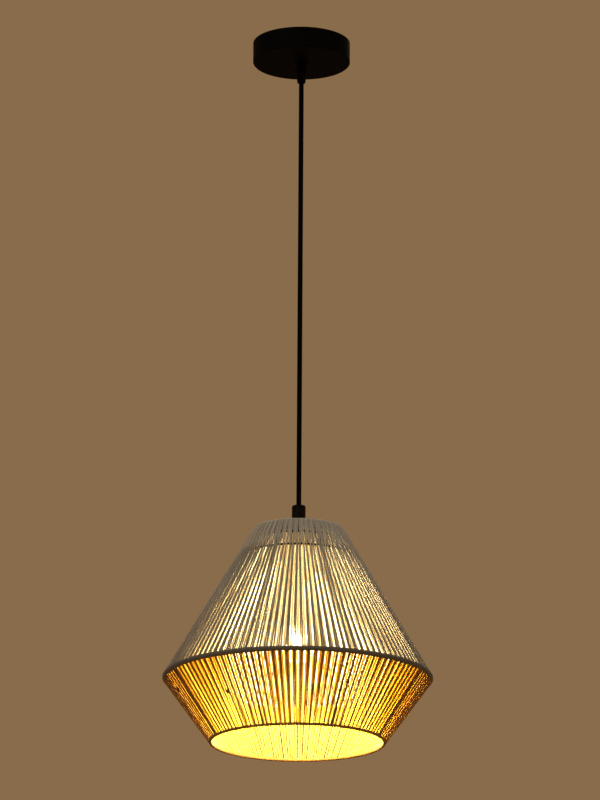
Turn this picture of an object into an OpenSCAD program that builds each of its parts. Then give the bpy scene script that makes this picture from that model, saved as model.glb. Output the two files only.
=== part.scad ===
// Pendant lantern: a ceiling canopy, a straight flexible cord and a bicone shade
// wound with string on a welded wire frame, with a globe lamp in an E27 holder.
// Millimetres, +Z up, origin at the ceiling surface on the lamp's vertical axis.

/* [Canopy] */
// Outer diameter of the ceiling cup
canopy_d = 120; // [100:1:150]
// Height of the ceiling cup
canopy_h = 25.5; // [22:0.5:40]
// Sheet thickness of the ceiling cup
canopy_wall = 1.2; // [0.8:0.1:2]
// Thickness of the ceiling bracket strip
bracket_t = 2; // [1.5:0.1:3]
// Width of the ceiling bracket strip
bracket_w = 18; // [14:1:26]
// Distance between the two slotted fixing holes
fixing_spacing = 64; // [52:1:76]
// Width of a fixing slot
fixing_slot_w = 5; // [4:0.1:6]
// Length of a fixing slot from end to end
fixing_slot_l = 14; // [9:0.5:18]
// Diameter of the hole for the supply cable
cable_hole_d = 12; // [8:0.5:16]

/* [Cord and grips] */
// Diameter of the round cord
cord_d = 6; // [4:0.1:7]
// Height of the cord grip under the canopy
canopy_grip_h = 26; // [20:0.5:40]
// Wall of the canopy grip round its mouth, at the lower end
canopy_grip_lip = 0.4; // [0.4:0.1:2]
// Diameter of the canopy grip under its flange
canopy_grip_top_d = 13.6; // [13:0.1:18]
// Diameter of the canopy grip's flange
canopy_flange_d = 19; // [17:0.5:26]
// Diameter of the cord grip over the shade
holder_grip_d = 16.5; // [14:0.1:22]
// Height of the cord grip over the shade
holder_grip_h = 28; // [24:0.5:40]
// Outer diameter of the threaded tubes
nipple_d = 10; // [10:0.1:10.4]
// Bore of the threaded tubes
nipple_bore = 7; // [6.4:0.1:7.6]

/* [Shade] */
// Distance from the ceiling to the centre of the top ring
top_ring_z = 626; // [600:1:900]
// Radius of the top ring, at the centre of its wire
top_ring_r = 52; // [46:0.5:70]
// Radius of the belly ring, at the centre of its wire
belly_ring_r = 158.5; // [125:0.5:200]
// Radius of the bottom ring, at the centre of its wire
bottom_ring_r = 103.5; // [80:0.5:130]
// Height of the upper cone between ring centres
upper_h = 180.5; // [150:0.5:230]
// Height of the lower cone between ring centres
lower_h = 77.5; // [62:0.5:100]
// Wire diameter of the top ring
top_wire_d = 4; // [3:0.1:5]
// Wire diameter of the belly ring
belly_wire_d = 4; // [3:0.1:5]
// Wire diameter of the bottom ring
bottom_wire_d = 2.6; // [2:0.1:3]
// Wire diameter of the ribs and of the two stay rings
rib_d = 2.5; // [2:0.1:2.6]
// Number of ribs in each cone
rib_count = 8; // [6:2:12]
// Distance of the upper stay ring from the top ring, along the cone
stay_a_s = 14.3; // [11:0.1:18]
// Distance of the lower stay ring from the top ring, along the cone
stay_b_s = 35.5; // [28:0.1:44]
// Diameter of the string
string_d = 2.1; // [1.6:0.1:2.6]
// Tube diameter of the bound belly rim
belly_rim_d = 6.4; // [6:0.1:8]
// Tube diameter of the bound bottom rim
bottom_rim_d = 3.9; // [3.7:0.1:5]

/* [Lampholder] */
// Outer diameter of the lampholder
holder_d = 40; // [38:0.5:44]
// Height of the lampholder from the spider plate to its rim
holder_h = 63.5; // [60:0.5:72]
// Wall of the lampholder
holder_wall = 3; // [2:0.1:3.5]
// Inner diameter of the screw shell
shell_bore = 27; // [26.8:0.05:27.4]
// Thickness of the spider plate and its arms
spider_t = 2; // [1.5:0.1:3]
// Width of a spider arm
spider_arm_w = 3; // [2:0.1:5]

/* [Lamp] */
// Diameter of the glass globe
globe_d = 95; // [80:1:115]
// Overall length of the lamp, tip to tip
lamp_l = 138; // [128:1:160]
// Outer diameter of the lamp's screw cap
cap_d = 26.3; // [26:0.1:26.4]
// Thickness of the glass
glass_t = 1; // [0.6:0.1:1.4]

/* [Clearances] */
// Gap between pieces that move past each other
run_gap = 0.3; // [0.25:0.05:0.5]
// Gap between pieces that are fixed together
seat_gap = 0.15; // [0.1:0.05:0.2]
// Gap around a thread or a swivel
thread_gap = 0.05; // [0.02:0.01:0.1]
// Depth that welded wires run into each other
weld = 0.2; // [0.1:0.05:0.3]

/* [Hidden] */
$fn = 96;
cord_r = cord_d / 2;

// Ceiling: the bracket lies on z = 0 and the cup's rim rests on it
canopy_r = canopy_d / 2;
tab_h = 14;
tab_face_r = canopy_r - canopy_wall - seat_gap;
side_screw_z = -9;
side_screw_r = 2;
side_screw_inset = 0.2;
side_screw_past = 2;
grip_top_z = -canopy_h;
flange_t = 1.6;
canopy_nut_t = 4;
canopy_nut_af = 14;
canopy_stub_h = canopy_wall + canopy_nut_t + 2;
canopy_grip_z = grip_top_z - canopy_grip_h;
grip_screw_r = 1.5;
grip_screw_z = grip_top_z - flange_t - 5;
lead_top_z = grip_top_z + canopy_stub_h + 0.5;
earth_screw_r = 2;

// A three-pole screw connector beside the cable hole, hung under the bracket
block_l = 24;
block_w = 15;
block_h = 12;
block_x = -cable_hole_d / 2 - 2 - block_w / 2;
block_top_z = -bracket_t;
pole_pitch = 8;
pole_z = block_top_z - 6.5;
pole_screw_x = 3.5;
pole_screw_r = 1.3;
wire_hole_r = 1.6;

// The insulated cores: their balls at a bend are a little thicker than the wire
core_r = 0.85;
bend_swell = 1.15;
core_pitch = 2 * bend_swell * core_r + 0.2;

// Cord: it bends at a point just inside each grip
exit_depth_top = 2.5;
exit_depth_bottom = 3;
cord_top_z = canopy_grip_z + exit_depth_top;
swing_max = 25;
tilt_max = 20;
cord_bore_r = cord_r + 0.2;
function mouth_r(a, depth) = (cord_r + run_gap) / cos(a) + depth * tan(a);
canopy_grip_end_r = mouth_r(swing_max, exit_depth_top) + canopy_grip_lip;

// Holder grip
spider_z = -top_ring_z;
spider_top_z = spider_z + spider_t / 2;
lock_nut_t = 3;
lock_nut_af = 14;
holder_grip_base_z = spider_top_z + lock_nut_t + 2 * run_gap;
holder_grip_top_z = holder_grip_base_z + holder_grip_h;
cord_bottom_z = holder_grip_top_z - exit_depth_bottom;
nipple_engage = 15;
nipple_top_z = holder_grip_base_z + nipple_engage;
nipple_r = nipple_d / 2;
sheath_end_z = nipple_top_z + 2 * run_gap;
clamp_screw_r = 2;
clamp_screw_z = (sheath_end_z + cord_bottom_z - cord_r) / 2;

// The cord is straight between the two heights where it bends
cord_ring_pitch = 15;
cord_sides = 12;
cap_steps = 4;
cord_run = cord_top_z - cord_bottom_z;
cord_rings = ceil(cord_run / cord_ring_pitch);

// Lampholder and lamp, measured down from the underside of the spider plate
holder_top_z = spider_z - spider_t / 2;
holder_r = holder_d / 2;
holder_rim_z = holder_top_z - holder_h;
rim_step = 1;
rim_band_h = 7;
rim_lip_t = 1.5;
rim_lip_gap = 1.6;
cap_neck_r = 8;
cap_neck_h = 9;
cap_dome_h = 9;
cap_skirt_h = 7;
cap_wall = 2;
cap_bottom_z = holder_top_z - cap_neck_h - cap_dome_h - cap_skirt_h;
nipple_end_z = holder_top_z - cap_neck_h;
insert_t = 9;
insert_top_z = cap_bottom_z + 4;
insert_r = holder_r - holder_wall - seat_gap;
terminal_x = 9;
terminal_screw_r = 1.4;
core_hole_y = 5;
core_hole_r = 1.4;
core_hole_depth = 4.5;
core_side = 1.6;
core_drop = 1;
core_bend_h = 4;
shell_r = shell_bore / 2;
shell_t = 0.6;
shell_top_z = insert_top_z - insert_t;
shell_h = 27;
contact_w = 6;
contact_t = 0.6;

globe_r = globe_d / 2;
cap_r = cap_d / 2;
lamp_tip_z = shell_top_z - 4.5;
globe_z = lamp_tip_z - lamp_l + globe_r;
tip_h = 1.5;
tip_r = 4.8;
insulator_h = 3;
cap_h = 23;
cap_top_z = lamp_tip_z - tip_h - insulator_h;
cap_base_z = cap_top_z - cap_h;
neck_r = 15;

// The glass: a cone runs from the screw cap to where it touches the globe
neck_top_z = cap_base_z - seat_gap;
neck_low_r = globe_r * 0.62;
neck_low_z = globe_z + sqrt(globe_r * globe_r - neck_low_r * neck_low_r);
stem_hole_r = 6;

// Upright light strips hang round a glass stem on a cross wire
strip_count = 6;
strip_ring_r = 10;
strip_r = 1.2;
strip_l = 42;
strip_z = globe_z - 12 - strip_l / 2;
cross_r = 0.5;
cross_z = strip_z + strip_l - 6;
stem_r = 5;
stem_tip_r = 2;
stem_body_r = 3.5;
stem_tip_h = 4;
stem_flare_h = 12;
stem_top_z = cap_base_z - 3;
stem_end_z = cross_z + cross_r + seat_gap;

// The two cones: unit vectors along and across each, in the (radius, z) plane
top_pt = [top_ring_r, spider_z];
belly_pt = [belly_ring_r, spider_z - upper_h];
bottom_pt = [bottom_ring_r, spider_z - upper_h - lower_h];
upper_l = norm(belly_pt - top_pt);
lower_l = norm(bottom_pt - belly_pt);
upper_u = (belly_pt - top_pt) / upper_l;
lower_u = (bottom_pt - belly_pt) / lower_l;
function upper_at(s, off) = top_pt + s * upper_u + off * [-upper_u[1], upper_u[0]];
function lower_at(s, off) = belly_pt + s * lower_u + off * [-lower_u[1], lower_u[0]];

// The stay rings are welded to the inner side of the ribs
stay_off = rib_d - weld;
stay_a_pt = upper_at(stay_a_s, -stay_off);
stay_b_pt = upper_at(stay_b_s, -stay_off);

// Half thickness of the wound skins at the rings, over the ribs and over the stays
wrap_top = top_wire_d / 2 + string_d;
wrap_belly = belly_rim_d / 2 - 0.3;
wrap_bottom = bottom_rim_d / 2 + seat_gap;
wrap_stay = stay_off + rib_d / 2 + seat_gap + string_d;
rib_channel_r = rib_d / 2 + seat_gap;

rib_first = 22.5;
arm_count = 4;
arm_first = 45;
spider_hub_r = 13;

// ---- shared shapes ----

// A wire bent into a ring about the vertical axis; pt is (radius, z)
module wire_ring(pt, d) {
    rotate_extrude($fn = 180) translate(pt) circle(d = d, $fn = 32);
}

// A tube bent into a ring around a wire
module ring_sleeve(pt, outer_d, inner_d) {
    rotate_extrude($fn = 180) translate(pt) difference() {
        circle(d = outer_d, $fn = 48);
        circle(d = inner_d, $fn = 48);
    }
}

// A straight round rod between two points
module rod(a, b, r) {
    d = b - a;
    l = norm(d);
    translate(a)
        rotate([0, acos(d[2] / l), atan2(d[1], d[0])])
            cylinder(r = r, h = l, $fn = 24);
}

// A wire through a list of points, with a ball a little thicker at each bend
module bent_wire(points, r) {
    for (i = [0 : len(points) - 2]) rod(points[i], points[i + 1], r);
    for (i = [1 : len(points) - 2]) translate(points[i])
        sphere(r = bend_swell * r, $fn = 24);
}

// A vertical tube from z0 up to z1
module tube(r_out, r_in, z0, z1) {
    translate([0, 0, z0]) difference() {
        cylinder(r = r_out, h = z1 - z0);
        translate([0, 0, -1]) cylinder(r = r_in, h = z1 - z0 + 2);
    }
}

// A hexagon nut on the vertical axis, standing on z0
module hex_nut(across_flats, bore_r, z0, t) {
    translate([0, 0, z0]) difference() {
        cylinder(r = across_flats / sqrt(3), h = t, $fn = 6);
        translate([0, 0, -1]) cylinder(r = bore_r, h = t + 2);
    }
}

// A slotted screw, its head on z = 0 and its shank along -Z
module slotted_screw(head_r, head_h, shank_r, shank_l) {
    difference() {
        union() {
            cylinder(r = head_r, h = head_h, $fn = 32);
            translate([0, 0, -shank_l]) cylinder(r = shank_r, h = shank_l + 0.1, $fn = 32);
        }
        translate([-head_r - 1, -0.4, head_h / 2]) cube([2 * head_r + 2, 0.8, head_h]);
    }
}

// A grub screw along +X from x0 to x1 with a hexagon socket in its outer end
module grub_screw(r, x0, x1) {
    translate([x0, 0, 0]) rotate([0, 90, 0]) difference() {
        cylinder(r = r, h = x1 - x0, $fn = 32);
        translate([0, 0, x1 - x0 - 1.2]) cylinder(r = r * 0.55, h = 2, $fn = 6);
    }
}

// The flared mouth that lets a cord of radius cord_r bend by angle a about z = 0
module cord_mouth(a, depth) {
    r0 = cord_r + run_gap;
    sphere(r = r0, $fn = 64);
    cylinder(r1 = r0 / cos(a), r2 = r0 / cos(a) + (depth + 1) * tan(a), h = depth + 1);
}

// ---- ceiling ----

module ceiling_bracket() {
    color("silver") difference() {
        intersection() {
            union() {
                translate([-tab_face_r, -bracket_w / 2, -bracket_t])
                    cube([2 * tab_face_r, bracket_w, bracket_t]);
                for (side = [0, 180])
                    rotate([0, 0, side])
                        translate([tab_face_r - bracket_t, -bracket_w / 2, -tab_h])
                            cube([bracket_t, bracket_w, tab_h]);
            }
            translate([0, 0, -tab_h]) cylinder(r = tab_face_r, h = tab_h);
        }
        translate([0, 0, -bracket_t - 1]) cylinder(d = cable_hole_d, h = bracket_t + 2);
        for (x = [-fixing_spacing / 2, fixing_spacing / 2])
            translate([x, 0, -bracket_t - 1]) fixing_slot(bracket_t + 2);
        for (side = [0, 180])
            rotate([0, 0, side])
                translate([tab_face_r - bracket_t - 1, 0, side_screw_z])
                    rotate([0, 90, 0])
                        cylinder(r = side_screw_r + thread_gap, h = bracket_t + 2);
        translate(earth_at(-bracket_t - 1))
            cylinder(r = earth_screw_r + thread_gap, h = bracket_t + 2);
    }
}

// A slot with round ends, along X
module fixing_slot(h) {
    run = (fixing_slot_l - fixing_slot_w) / 2;
    for (x = [-run, run]) translate([x, 0, 0]) cylinder(d = fixing_slot_w, h = h);
    translate([-run, -fixing_slot_w / 2, 0]) cube([2 * run, fixing_slot_w, h]);
}

// Where the earth screw stands, between the cable hole and a slot
function earth_at(z) = [(cable_hole_d + fixing_spacing - fixing_slot_l) / 4, 0, z];

module canopy_cup() {
    r = canopy_r;
    color([0.06, 0.06, 0.06]) difference() {
        rotate_extrude($fn = 180) polygon([
            [nipple_r + thread_gap, -canopy_h], [r - 0.8, -canopy_h], [r, -canopy_h + 0.8],
            [r, 0], [r - canopy_wall, 0], [r - canopy_wall, -canopy_h + canopy_wall],
            [nipple_r + thread_gap, -canopy_h + canopy_wall]]);
        for (side = [0, 180])
            rotate([0, 0, side])
                translate([r - 2 * canopy_wall, 0, side_screw_z])
                    rotate([0, 90, 0]) cylinder(r = side_screw_r + seat_gap, h = 3 * canopy_wall);
    }
}

module canopy_side_screws() {
    color("dimgray")
        for (side = [0, 180])
            rotate([0, 0, side]) translate([0, 0, side_screw_z])
                grub_screw(side_screw_r, tab_face_r - bracket_t - side_screw_past,
                           canopy_r - side_screw_inset);
}

module canopy_cord_grip() {
    taper_z = grip_top_z - flange_t;
    color([0.05, 0.05, 0.05]) difference() {
        rotate_extrude() polygon([
            [0, canopy_grip_z], [canopy_grip_end_r - 0.3, canopy_grip_z],
            [canopy_grip_end_r, canopy_grip_z + 0.7], [canopy_grip_top_d / 2, taper_z],
            [canopy_flange_d / 2, taper_z], [canopy_flange_d / 2, grip_top_z],
            [nipple_r, grip_top_z], [nipple_r, grip_top_z + canopy_stub_h],
            [0, grip_top_z + canopy_stub_h]]);
        translate([0, 0, cord_top_z]) cylinder(r = cord_bore_r, h = canopy_grip_h + canopy_stub_h);
        translate([0, 0, cord_top_z]) rotate([180, 0, 0]) cord_mouth(swing_max, exit_depth_top);
        translate([0, 0, grip_screw_z]) rotate([0, 0, 90]) rotate([0, 90, 0])
            cylinder(r = grip_screw_r + thread_gap, h = canopy_flange_d);
    }
}

module canopy_grip_nut() {
    color("silver")
        hex_nut(canopy_nut_af, nipple_r + thread_gap, grip_top_z + canopy_wall, canopy_nut_t);
}

module canopy_grip_screw() {
    color("dimgray") translate([0, 0, grip_screw_z]) rotate([0, 0, 90])
        grub_screw(grip_screw_r, cord_r + thread_gap, canopy_grip_top_d / 2 - 0.6);
}

module terminal_block() {
    color("ivory") translate([block_x, 0, block_top_z]) difference() {
        translate([-block_w / 2, -block_l / 2, -block_h]) cube([block_w, block_l, block_h]);
        for (i = [-1, 0, 1]) {
            translate([-block_w, i * pole_pitch, pole_z - block_top_z]) rotate([0, 90, 0])
                cylinder(r = wire_hole_r, h = 2 * block_w, $fn = 32);
            for (x = [-pole_screw_x, pole_screw_x])
                translate([x, i * pole_pitch, -block_h - 1])
                    cylinder(r = wire_hole_r, h = block_h + 1 + pole_z - block_top_z, $fn = 32);
        }
    }
}

module terminal_screws() {
    color("silver") translate([block_x, 0, 0])
        for (i = [-1, 0, 1], x = [-pole_screw_x, pole_screw_x])
            translate([x, i * pole_pitch, block_top_z - block_h + 1.5]) rotate([180, 0, 0])
                slotted_screw(1.1 * pole_screw_r, 0.8, pole_screw_r,
                              pole_z - core_r - block_top_z + block_h - 1.6);
}

module earth_screw() {
    color("gold") translate(earth_at(-bracket_t)) rotate([180, 0, 0])
        slotted_screw(3.2, 1.8, earth_screw_r, bracket_t);
}

// The end of the sheathed cord inside the canopy grip
module ceiling_lead() {
    color([0.04, 0.04, 0.04])
        translate([0, 0, cord_top_z + cord_r + run_gap])
            cylinder(r = cord_r, h = lead_top_z - cord_top_z - cord_r - run_gap, $fn = 48);
}

// Three cores from the end of the sheath to the poles of the connector
module ceiling_cores() {
    x_pole = block_x + block_w / 2 - 3;
    color("saddlebrown")
        for (i = [-1, 0, 1])
            bent_wire([[0, i * core_pitch, lead_top_z + core_r], [0, i * pole_pitch, pole_z],
                       [x_pole, i * pole_pitch, pole_z]], core_r);
}

// ---- cord ----

// Each end is a half ball, so that it turns in its grip's mouth
cord_profile = concat(
    [for (i = [1 : cap_steps]) let (a = 90 * i / cap_steps)
        [cord_r * sin(a), cord_top_z + cord_r * cos(a)]],
    [for (i = [1 : cord_rings - 1]) [cord_r, cord_top_z - cord_run * i / cord_rings]],
    [for (i = [0 : cap_steps - 1]) let (a = 90 * i / cap_steps)
        [cord_r * cos(a), cord_bottom_z - cord_r * sin(a)]]);

module power_cord() {
    n = len(cord_profile);
    points = concat(
        [for (p = cord_profile, k = [0 : cord_sides - 1]) let (a = 360 * k / cord_sides)
            [p[0] * cos(a), p[0] * sin(a), p[1]]],
        [[0, 0, cord_top_z + cord_r], [0, 0, cord_bottom_z - cord_r]]);
    function id(ring, k) = ring * cord_sides + k % cord_sides;
    faces = concat(
        [for (j = [0 : n - 2], k = [0 : cord_sides - 1])
            [id(j, k), id(j, k + 1), id(j + 1, k + 1), id(j + 1, k)]],
        [for (k = [0 : cord_sides - 1]) [n * cord_sides, id(0, k + 1), id(0, k)]],
        [for (k = [0 : cord_sides - 1]) [n * cord_sides + 1, id(n - 1, k), id(n - 1, k + 1)]]);
    color([0.04, 0.04, 0.04]) polyhedron(points = points, faces = faces, convexity = 4);
}

// ---- grip over the shade ----

module holder_cord_grip() {
    r = holder_grip_d / 2;
    edge = 1.4;
    color([0.05, 0.05, 0.05]) difference() {
        rotate_extrude() polygon(concat(
            [[0, holder_grip_base_z], [r, holder_grip_base_z]],
            [for (a = [0 : 15 : 90])
                [r - edge + edge * cos(a), holder_grip_top_z - edge + edge * sin(a)]],
            [[0, holder_grip_top_z]]));
        translate([0, 0, holder_grip_base_z - 1])
            cylinder(r = nipple_r + thread_gap, h = nipple_engage + 1 + 2 * run_gap);
        translate([0, 0, holder_grip_base_z]) cylinder(r = cord_bore_r, h = holder_grip_h - exit_depth_bottom);
        translate([0, 0, cord_bottom_z]) cord_mouth(tilt_max, exit_depth_bottom);
        translate([0, 0, clamp_screw_z]) rotate([0, 0, 90]) rotate([0, 90, 0])
            cylinder(r = clamp_screw_r + thread_gap, h = holder_grip_d);
    }
}

module holder_grip_screw() {
    color("dimgray") translate([0, 0, clamp_screw_z]) rotate([0, 0, 90])
        grub_screw(clamp_screw_r, cord_r + thread_gap, holder_grip_d / 2 - 0.3);
}

module holder_lead() {
    color([0.04, 0.04, 0.04]) translate([0, 0, sheath_end_z])
        cylinder(r = cord_r, h = cord_bottom_z - cord_r - run_gap - sheath_end_z, $fn = 48);
}

// ---- lampholder ----

module threaded_tube() {
    color("silver") tube(nipple_r, nipple_bore / 2, nipple_end_z, nipple_top_z);
}

module spider_lock_nut() {
    color("silver") hex_nut(lock_nut_af, nipple_r + thread_gap, spider_top_z, lock_nut_t);
}

module shade_spider() {
    arm_l = top_ring_r - top_wire_d / 2 + weld;
    color("dimgray") difference() {
        union() {
            translate([0, 0, spider_z - spider_t / 2]) cylinder(r = spider_hub_r, h = spider_t);
            for (i = [0 : arm_count - 1])
                rotate([0, 0, arm_first + 360 * i / arm_count])
                    translate([spider_hub_r - 1, -spider_arm_w / 2, spider_z - spider_t / 2])
                        cube([arm_l - spider_hub_r + 1, spider_arm_w, spider_t]);
        }
        translate([0, 0, spider_z - spider_t]) cylinder(r = nipple_r + thread_gap, h = 2 * spider_t);
    }
}

module lampholder_cap() {
    r = holder_r;
    z = holder_top_z;
    dome = [for (a = [0 : 10 : 90])
        [cap_neck_r + (r - cap_neck_r) * sin(a), z - cap_neck_h - cap_dome_h * (1 - cos(a))]];
    inner = [for (a = [90 : -10 : 0])
        [cap_neck_r - cap_wall + (r - cap_neck_r) * sin(a),
         z - cap_neck_h - cap_wall - cap_dome_h * (1 - cos(a))]];
    color([0.55, 0.47, 0.34]) difference() {
        rotate_extrude() polygon(concat(
            [[nipple_r + thread_gap, z], [cap_neck_r, z]], dome,
            [[r, cap_bottom_z], [r - cap_wall, cap_bottom_z]], inner,
            [[nipple_r + thread_gap, z - cap_neck_h - cap_wall]]));
    }
}

module lampholder_insert() {
    color("white") difference() {
        translate([0, 0, insert_top_z - insert_t]) cylinder(r = insert_r, h = insert_t);
        for (x = [-terminal_x, terminal_x]) {
            translate([x, 0, insert_top_z - 4])
                cylinder(r = terminal_screw_r + seat_gap, h = 5, $fn = 32);
            translate([x, core_hole_y, insert_top_z - 5])
                cylinder(r = core_hole_r, h = 6, $fn = 32);
        }
        translate([0, 0, insert_top_z - insert_t - 1]) cylinder(r = 3.4, h = 3);
    }
}

module lampholder_body() {
    top = cap_bottom_z - seat_gap;
    color([0.55, 0.47, 0.34]) rotate_extrude() polygon([
        [holder_r - holder_wall, top], [holder_r, top],
        [holder_r, holder_rim_z + rim_band_h + rim_step],
        [holder_r - rim_step, holder_rim_z + rim_band_h],
        [holder_r - rim_step, holder_rim_z + rim_step], [holder_r - 2 * rim_step, holder_rim_z],
        [cap_r + rim_lip_gap, holder_rim_z], [cap_r + rim_lip_gap, holder_rim_z + rim_lip_t],
        [holder_r - holder_wall, holder_rim_z + 2 * rim_lip_t]]);
}

module screw_shell() {
    color("goldenrod") rotate_extrude() polygon([
        [shell_r, shell_top_z - shell_h], [shell_r + shell_t, shell_top_z - shell_h],
        [shell_r + shell_t, shell_top_z], [shell_r - 3, shell_top_z],
        [shell_r - 3, shell_top_z - shell_t], [shell_r, shell_top_z - shell_t]]);
}

// A bent spring tongue that ends just above the lamp's tip
module centre_contact() {
    z = shell_top_z;
    low_z = lamp_tip_z + run_gap;
    foot_x = -7;
    bend_x = -4;
    pad_x = 1.5;
    pad_end_x = 4.5;
    slant = 0.4;
    color("goldenrod") translate([0, contact_w / 2, 0]) rotate([90, 0, 0])
        linear_extrude(contact_w) polygon([
            [foot_x, z], [foot_x, z - contact_t], [bend_x, z - contact_t], [pad_x, low_z],
            [pad_end_x, low_z], [pad_end_x, low_z + contact_t],
            [pad_x + slant, low_z + contact_t], [bend_x + slant, z]]);
}

module holder_terminals() {
    color("gold")
        for (x = [-terminal_x, terminal_x])
            translate([x, 0, insert_top_z]) slotted_screw(2.4, 1.2, terminal_screw_r, 3.5);
}

// Two cores from the cord through the threaded tube to the terminals
module holder_cores() {
    color("saddlebrown")
        for (side = [-1, 1])
            bent_wire([[side * core_side, 0, nipple_top_z],
                       [side * core_side, 0, nipple_end_z - core_drop],
                       [side * terminal_x, core_hole_y, insert_top_z + core_bend_h],
                       [side * terminal_x, core_hole_y, insert_top_z - core_hole_depth]], core_r);
}

// ---- shade frame ----

module top_ring() { color("dimgray") wire_ring(top_pt, top_wire_d); }
module upper_stay_ring() { color("dimgray") wire_ring(stay_a_pt, rib_d); }
module lower_stay_ring() { color("dimgray") wire_ring(stay_b_pt, rib_d); }
module belly_ring() { color("dimgray") wire_ring(belly_pt, belly_wire_d); }
module bottom_ring() { color("dimgray") wire_ring(bottom_pt, bottom_wire_d); }

// Ribs between two rings, as rods in the planes through the axis
module ribs(a, b, r) {
    for (i = [0 : rib_count - 1])
        rotate([0, 0, rib_first + 360 * i / rib_count])
            rod([a[0], 0, a[1]], [b[0], 0, b[1]], r);
}

module upper_ribs() {
    color([0.6, 0.57, 0.5]) ribs(upper_at(top_wire_d / 2 - weld, 0),
                          upper_at(upper_l - belly_wire_d / 2 + weld, 0), rib_d / 2);
}

module lower_ribs() {
    color([0.25, 0.16, 0.08]) ribs(lower_at(belly_wire_d / 2 - weld, 0),
                          lower_at(lower_l - bottom_wire_d / 2 + weld, 0), rib_d / 2);
}

// ---- wound string ----

// The upper skin goes round the top ring, over the ribs and inside the stay rings
module upper_winding() {
    end = upper_l - belly_rim_d / 2 - seat_gap;
    turn = [for (a = [0 : 15 : 180]) top_pt
        + wrap_top * (cos(a) * [-upper_u[1], upper_u[0]] - sin(a) * upper_u)];
    arm_half = spider_arm_w / 2 + seat_gap;
    color([0.62, 0.60, 0.56]) difference() {
        rotate_extrude($fn = 180) polygon(concat(turn, [
            upper_at(stay_a_s, -wrap_stay), upper_at(stay_b_s, -wrap_stay),
            upper_at(end, -wrap_belly), upper_at(end, wrap_belly)]));
        wire_ring(top_pt, top_wire_d + 2 * seat_gap);
        wire_ring(stay_a_pt, rib_d + 2 * seat_gap);
        wire_ring(stay_b_pt, rib_d + 2 * seat_gap);
        ribs(upper_at(0, 0), upper_at(upper_l, 0), rib_channel_r);
        for (i = [0 : arm_count - 1])
            rotate([0, 0, arm_first + 360 * i / arm_count])
                translate([0, -arm_half, spider_z - spider_t / 2 - seat_gap])
                    cube([top_ring_r, 2 * arm_half, spider_t + 2 * seat_gap]);
    }
}

// The lower skin runs from the belly rim to the bottom rim
module lower_winding() {
    start = belly_rim_d / 2 + seat_gap;
    end = lower_l - bottom_rim_d / 2 - seat_gap;
    color([0.55, 0.42, 0.25]) difference() {
        rotate_extrude($fn = 180) polygon([
            lower_at(start, wrap_belly), lower_at(start, -wrap_belly),
            lower_at(end, -wrap_bottom), lower_at(end, wrap_bottom)]);
        ribs(lower_at(0, 0), lower_at(lower_l, 0), rib_channel_r);
    }
}

module belly_binding() {
    color([0.5, 0.48, 0.46]) ring_sleeve(belly_pt, belly_rim_d, belly_wire_d + 0.1);
}

module bottom_binding() {
    color([0.45, 0.33, 0.2]) ring_sleeve(bottom_pt, bottom_rim_d, bottom_wire_d + 0.1);
}

// ---- lamp ----

module globe_profile(t) {
    a0 = acos((neck_low_z - globe_z) / globe_r);
    polygon(concat(
        [[0, neck_top_z], [neck_r - 2 - t, neck_top_z], [neck_r - t, neck_top_z - 2.5]],
        [for (i = [0 : 24]) let (a = a0 + (180 - a0) * i / 24)
            [(globe_r - t) * sin(a), globe_z + (globe_r - t) * cos(a)]]));
}

module lamp_globe() {
    color([1, 0.95, 0.85, 0.35]) difference() {
        rotate_extrude($fn = 120) globe_profile(0);
        difference() {
            rotate_extrude($fn = 120) globe_profile(glass_t);
            translate([0, 0, neck_top_z - glass_t]) cylinder(r = neck_r, h = 2 * glass_t);
        }
        translate([0, 0, neck_top_z - 2 * glass_t]) cylinder(r = stem_hole_r, h = 4 * glass_t);
    }
}

module lamp_screw_cap() {
    color("silver") tube(cap_r, cap_r - 0.5, cap_base_z, cap_top_z);
}

module lamp_insulator() {
    color([0.1, 0.1, 0.1]) rotate_extrude() polygon([
        [0, cap_top_z], [cap_r, cap_top_z], [cap_r - 1.2, cap_top_z + 1.2],
        [tip_r + 1, cap_top_z + insulator_h], [0, cap_top_z + insulator_h]]);
}

module lamp_tip_contact() {
    color("silver") rotate_extrude() polygon([
        [0, cap_top_z + insulator_h], [tip_r, cap_top_z + insulator_h],
        [tip_r - 1.2, lamp_tip_z], [0, lamp_tip_z]]);
}

module lamp_stem() {
    color([0.9, 0.9, 0.88]) rotate_extrude() polygon([
        [0, stem_end_z], [stem_tip_r, stem_end_z], [stem_body_r, stem_end_z + stem_tip_h],
        [stem_body_r, stem_top_z - stem_flare_h], [stem_r, stem_top_z], [0, stem_top_z]]);
}

module lamp_filaments() {
    color([1, 0.85, 0.45]) {
        for (i = [0 : strip_count - 1])
            rotate([0, 0, 360 * (i + 0.5) / strip_count])
                rod([strip_ring_r, 0, strip_z], [strip_ring_r, 0, strip_z + strip_l], strip_r);
        rotate_extrude() translate([strip_ring_r, strip_z + strip_l - strip_r])
            circle(r = strip_r / 2, $fn = 24);
        rod([0, -strip_ring_r, cross_z], [0, strip_ring_r, cross_z], cross_r);
    }
}

ceiling_bracket();
canopy_cup();
canopy_side_screws();
canopy_cord_grip();
canopy_grip_nut();
canopy_grip_screw();
terminal_block();
terminal_screws();
earth_screw();
ceiling_lead();
ceiling_cores();
power_cord();
holder_cord_grip();
holder_grip_screw();
holder_lead();
threaded_tube();
spider_lock_nut();
shade_spider();
lampholder_cap();
lampholder_body();
lampholder_insert();
screw_shell();
centre_contact();
holder_terminals();
holder_cores();
top_ring();
upper_stay_ring();
lower_stay_ring();
belly_ring();
bottom_ring();
upper_ribs();
lower_ribs();
upper_winding();
lower_winding();
belly_binding();
bottom_binding();
lamp_globe();
lamp_screw_cap();
lamp_insulator();
lamp_tip_contact();
lamp_stem();
lamp_filaments();
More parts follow.
